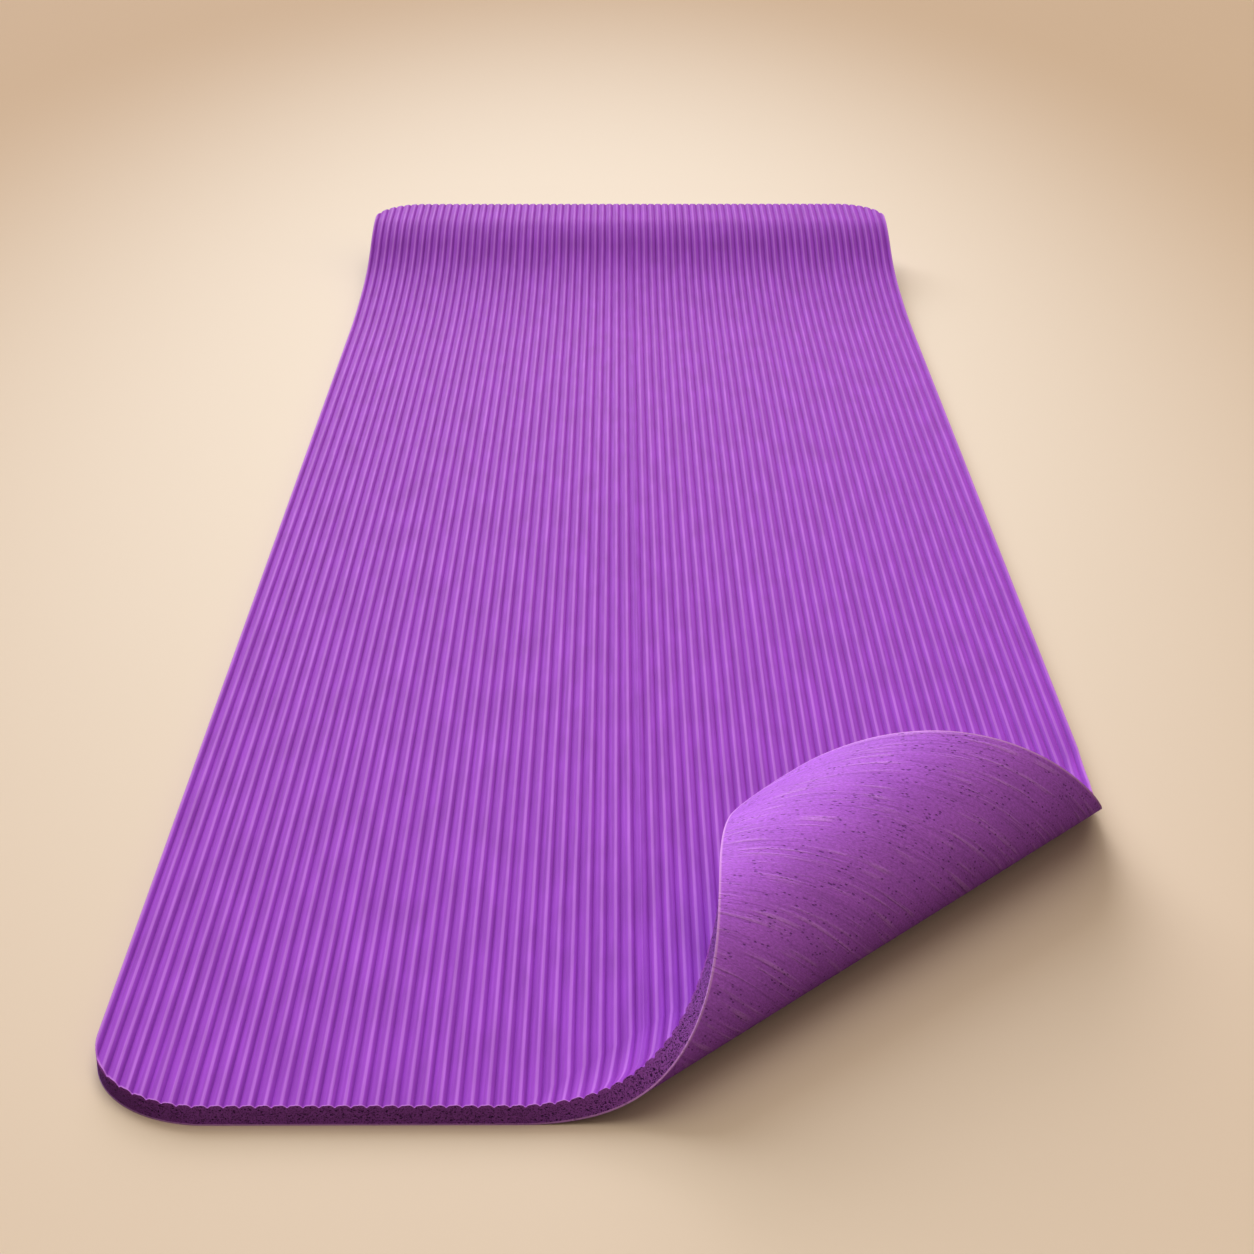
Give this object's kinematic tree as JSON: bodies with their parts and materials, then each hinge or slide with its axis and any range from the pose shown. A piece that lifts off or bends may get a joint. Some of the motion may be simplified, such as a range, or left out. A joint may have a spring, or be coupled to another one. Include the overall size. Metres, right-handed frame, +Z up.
{
  "type": "yoga mat",
  "caption": "Ribbed foam exercise mat lying on the floor, with one near corner rolled up and over and the far end lifted in a gentle wave.",
  "frame": {"origin": "centre of the mat's footprint on the floor", "axes": "+Y along the mat from the rolled corner's end to the lifted end, +X to the right seen from the rolled corner's end, +Z up"},
  "size_m": [0.61, 1.8204, 0.1103],
  "materials": {
    "ribbed_skin": "matte",
    "foam_core": "matte",
    "base_skin": "matte"
  },
  "bodies": {
    "panel": {"panel_ribbed_skin": "ribbed_skin", "panel_foam_core": "foam_core", "panel_base_skin": "base_skin"},
    "corner_strip_01": {"corner_strip_01_ribbed_skin": "ribbed_skin", "corner_strip_01_foam_core": "foam_core", "corner_strip_01_base_skin": "base_skin"},
    "corner_strip_02": {"corner_strip_02_ribbed_skin": "ribbed_skin", "corner_strip_02_foam_core": "foam_core", "corner_strip_02_base_skin": "base_skin"},
    "corner_strip_03": {"corner_strip_03_ribbed_skin": "ribbed_skin", "corner_strip_03_foam_core": "foam_core", "corner_strip_03_base_skin": "base_skin"},
    "corner_strip_04": {"corner_strip_04_ribbed_skin": "ribbed_skin", "corner_strip_04_foam_core": "foam_core", "corner_strip_04_base_skin": "base_skin"},
    "corner_strip_05": {"corner_strip_05_ribbed_skin": "ribbed_skin", "corner_strip_05_foam_core": "foam_core", "corner_strip_05_base_skin": "base_skin"},
    "corner_strip_06": {"corner_strip_06_ribbed_skin": "ribbed_skin", "corner_strip_06_foam_core": "foam_core", "corner_strip_06_base_skin": "base_skin"},
    "corner_strip_07": {"corner_strip_07_ribbed_skin": "ribbed_skin", "corner_strip_07_foam_core": "foam_core", "corner_strip_07_base_skin": "base_skin"},
    "corner_strip_08": {"corner_strip_08_ribbed_skin": "ribbed_skin", "corner_strip_08_foam_core": "foam_core", "corner_strip_08_base_skin": "base_skin"},
    "corner_strip_09": {"corner_strip_09_ribbed_skin": "ribbed_skin", "corner_strip_09_foam_core": "foam_core", "corner_strip_09_base_skin": "base_skin"},
    "corner_strip_10": {"corner_strip_10_ribbed_skin": "ribbed_skin", "corner_strip_10_foam_core": "foam_core", "corner_strip_10_base_skin": "base_skin"},
    "corner_strip_11": {"corner_strip_11_ribbed_skin": "ribbed_skin", "corner_strip_11_foam_core": "foam_core", "corner_strip_11_base_skin": "base_skin"},
    "corner_strip_12": {"corner_strip_12_ribbed_skin": "ribbed_skin", "corner_strip_12_foam_core": "foam_core", "corner_strip_12_base_skin": "base_skin"},
    "far_strip_01": {"far_strip_01_ribbed_skin": "ribbed_skin", "far_strip_01_foam_core": "foam_core", "far_strip_01_base_skin": "base_skin"},
    "far_strip_02": {"far_strip_02_ribbed_skin": "ribbed_skin", "far_strip_02_foam_core": "foam_core", "far_strip_02_base_skin": "base_skin"},
    "far_strip_03": {"far_strip_03_ribbed_skin": "ribbed_skin", "far_strip_03_foam_core": "foam_core", "far_strip_03_base_skin": "base_skin"},
    "far_strip_04": {"far_strip_04_ribbed_skin": "ribbed_skin", "far_strip_04_foam_core": "foam_core", "far_strip_04_base_skin": "base_skin"},
    "far_strip_05": {"far_strip_05_ribbed_skin": "ribbed_skin", "far_strip_05_foam_core": "foam_core", "far_strip_05_base_skin": "base_skin"},
    "far_strip_06": {"far_strip_06_ribbed_skin": "ribbed_skin", "far_strip_06_foam_core": "foam_core", "far_strip_06_base_skin": "base_skin"}
  },
  "joints": [
    {"name": "corner_bend_01", "type": "hinge", "parent": "panel", "child": "corner_strip_01", "pos_m": [-0.05627, -0.9189, 0], "axis": [-0.6707, -0.7418, 0], "range_deg": [-18, 2], "stiffness_Nm_per_rad": 1.03, "springref_deg": -0.21},
    {"name": "corner_bend_02", "type": "hinge", "parent": "corner_strip_01", "child": "corner_strip_02", "pos_m": [-0.04221, -0.93195, 0.00623], "axis": [-0.6882, -0.7254, -0.0078], "range_deg": [-18, 2], "stiffness_Nm_per_rad": 1.69, "springref_deg": -0.21},
    {"name": "corner_bend_03", "type": "hinge", "parent": "corner_strip_02", "child": "corner_strip_03", "pos_m": [-0.03484, -0.93916, 0.01372], "axis": [-0.6975, -0.7164, -0.0171], "range_deg": [-18, 2], "stiffness_Nm_per_rad": 2.01, "springref_deg": -0.21},
    {"name": "corner_bend_04", "type": "hinge", "parent": "corner_strip_03", "child": "corner_strip_04", "pos_m": [-0.03048, -0.94371, 0.02238], "axis": [-0.7029, -0.7107, -0.028], "range_deg": [-18, 2], "stiffness_Nm_per_rad": 2.06, "springref_deg": -0.21},
    {"name": "corner_bend_05", "type": "hinge", "parent": "corner_strip_04", "child": "corner_strip_05", "pos_m": [-0.02843, -0.94622, 0.03229], "axis": [-0.7055, -0.7076, -0.0404], "range_deg": [-18, 2], "stiffness_Nm_per_rad": 1.85, "springref_deg": -0.21},
    {"name": "corner_bend_06", "type": "hinge", "parent": "corner_strip_05", "child": "corner_strip_06", "pos_m": [-0.02879, -0.94659, 0.04318], "axis": [-0.705, -0.7071, -0.054], "range_deg": [-18, 2], "stiffness_Nm_per_rad": 1.63, "springref_deg": -0.21},
    {"name": "corner_bend_07", "type": "hinge", "parent": "corner_strip_06", "child": "corner_strip_07", "pos_m": [-0.03175, -0.94458, 0.05399], "axis": [-0.7013, -0.7096, -0.0675], "range_deg": [-18, 2], "stiffness_Nm_per_rad": 1.44, "springref_deg": -0.21},
    {"name": "corner_bend_08", "type": "hinge", "parent": "corner_strip_07", "child": "corner_strip_08", "pos_m": [-0.03727, -0.94017, 0.06364], "axis": [-0.6944, -0.7152, -0.0796], "range_deg": [-18, 2], "stiffness_Nm_per_rad": 1.22, "springref_deg": -0.21},
    {"name": "corner_bend_09", "type": "hinge", "parent": "corner_strip_08", "child": "corner_strip_09", "pos_m": [-0.04533, -0.93334, 0.07127], "axis": [-0.6843, -0.7237, -0.0891], "range_deg": [-18, 2], "stiffness_Nm_per_rad": 0.97, "springref_deg": -0.21},
    {"name": "corner_bend_10", "type": "hinge", "parent": "corner_strip_09", "child": "corner_strip_10", "pos_m": [-0.05598, -0.92402, 0.07581], "axis": [-0.671, -0.7354, -0.0948], "range_deg": [-18, 2], "stiffness_Nm_per_rad": 0.71, "springref_deg": -0.21},
    {"name": "corner_bend_11", "type": "hinge", "parent": "corner_strip_10", "child": "corner_strip_11", "pos_m": [-0.06944, -0.912, 0.07573], "axis": [-0.6542, -0.7504, -0.0947], "range_deg": [-18, 2], "stiffness_Nm_per_rad": 0.44, "springref_deg": -0.21},
    {"name": "corner_bend_12", "type": "hinge", "parent": "corner_strip_11", "child": "corner_strip_12", "pos_m": [-0.08544, -0.89759, 0.06861], "axis": [-0.6342, -0.7684, -0.0858], "range_deg": [-18, 2], "stiffness_Nm_per_rad": 0.22, "springref_deg": -0.21},
    {"name": "far_bend_01", "type": "hinge", "parent": "panel", "child": "far_strip_01", "pos_m": [0, 0.59877, 0], "axis": [1, 0, 0], "range_deg": [-5.2, 2], "stiffness_Nm_per_rad": 0.27, "springref_deg": 2.14},
    {"name": "far_bend_02", "type": "hinge", "parent": "far_strip_01", "child": "far_strip_02", "pos_m": [0, 0.70242, 0.00943], "axis": [1, 0, 0], "range_deg": [-5.2, 2], "stiffness_Nm_per_rad": 0.77, "springref_deg": 2.14},
    {"name": "far_bend_03", "type": "hinge", "parent": "far_strip_02", "child": "far_strip_03", "pos_m": [0, 0.74177, 0.01665], "axis": [1, 0, 0], "range_deg": [-5.2, 2], "stiffness_Nm_per_rad": 1.61, "springref_deg": 2.14},
    {"name": "far_bend_04", "type": "hinge", "parent": "far_strip_03", "child": "far_strip_04", "pos_m": [0, 0.77128, 0.0249], "axis": [1, 0, 0], "range_deg": [-5.2, 2], "stiffness_Nm_per_rad": 1.18, "springref_deg": 2.14},
    {"name": "far_bend_05", "type": "hinge", "parent": "far_strip_04", "child": "far_strip_05", "pos_m": [0, 0.80398, 0.0509], "axis": [1, 0, 0], "range_deg": [-3.5, 9.1], "stiffness_Nm_per_rad": 0.94, "springref_deg": -3.75},
    {"name": "far_bend_06", "type": "hinge", "parent": "far_strip_05", "child": "far_strip_06", "pos_m": [0, 0.8373, 0.0578], "axis": [1, 0, 0], "range_deg": [-3.5, 9.1], "stiffness_Nm_per_rad": 1.74, "springref_deg": -3.75}
  ],
  "couplings": [
    {"joint": "corner_bend_02", "follows": "corner_bend_01", "ratio": 1},
    {"joint": "corner_bend_03", "follows": "corner_bend_01", "ratio": 1},
    {"joint": "corner_bend_04", "follows": "corner_bend_01", "ratio": 1},
    {"joint": "corner_bend_05", "follows": "corner_bend_01", "ratio": 1},
    {"joint": "corner_bend_06", "follows": "corner_bend_01", "ratio": 1},
    {"joint": "corner_bend_07", "follows": "corner_bend_01", "ratio": 1},
    {"joint": "corner_bend_08", "follows": "corner_bend_01", "ratio": 1},
    {"joint": "corner_bend_09", "follows": "corner_bend_01", "ratio": 1},
    {"joint": "corner_bend_10", "follows": "corner_bend_01", "ratio": 1},
    {"joint": "corner_bend_11", "follows": "corner_bend_01", "ratio": 1},
    {"joint": "corner_bend_12", "follows": "corner_bend_01", "ratio": 1},
    {"joint": "far_bend_02", "follows": "far_bend_01", "ratio": 1},
    {"joint": "far_bend_03", "follows": "far_bend_01", "ratio": 1},
    {"joint": "far_bend_04", "follows": "far_bend_01", "ratio": 1},
    {"joint": "far_bend_05", "follows": "far_bend_01", "ratio": -1.75},
    {"joint": "far_bend_06", "follows": "far_bend_01", "ratio": -1.75}
  ]
}
